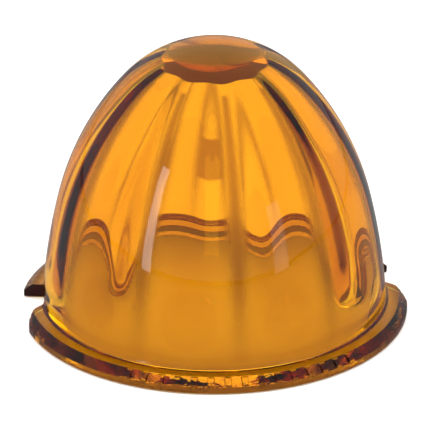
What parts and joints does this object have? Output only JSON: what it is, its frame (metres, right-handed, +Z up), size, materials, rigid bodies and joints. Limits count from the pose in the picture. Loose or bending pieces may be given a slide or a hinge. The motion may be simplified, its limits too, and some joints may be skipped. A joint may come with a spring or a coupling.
{
  "type": "fluted glass lamp lens",
  "caption": "Hollow amber glass dome lens with a smooth outside, flutes pressed into the inside wall, and a thin foot flange with two side notches.",
  "frame": {"origin": "centre of the flange's underside, on the dome's axis", "axes": "+Z up the dome's axis towards its crown; -Y is the front, where the bevel carries the raised marks; the two notches are at +X and -X"},
  "size_m": [0.0778, 0.0794, 0.0573],
  "materials": {
    "amber_glass": "clear amber pressed glass, fire-polished outside"
  },
  "bodies": {
    "root": {"glass_lens": "amber_glass"}
  },
  "joints": []
}
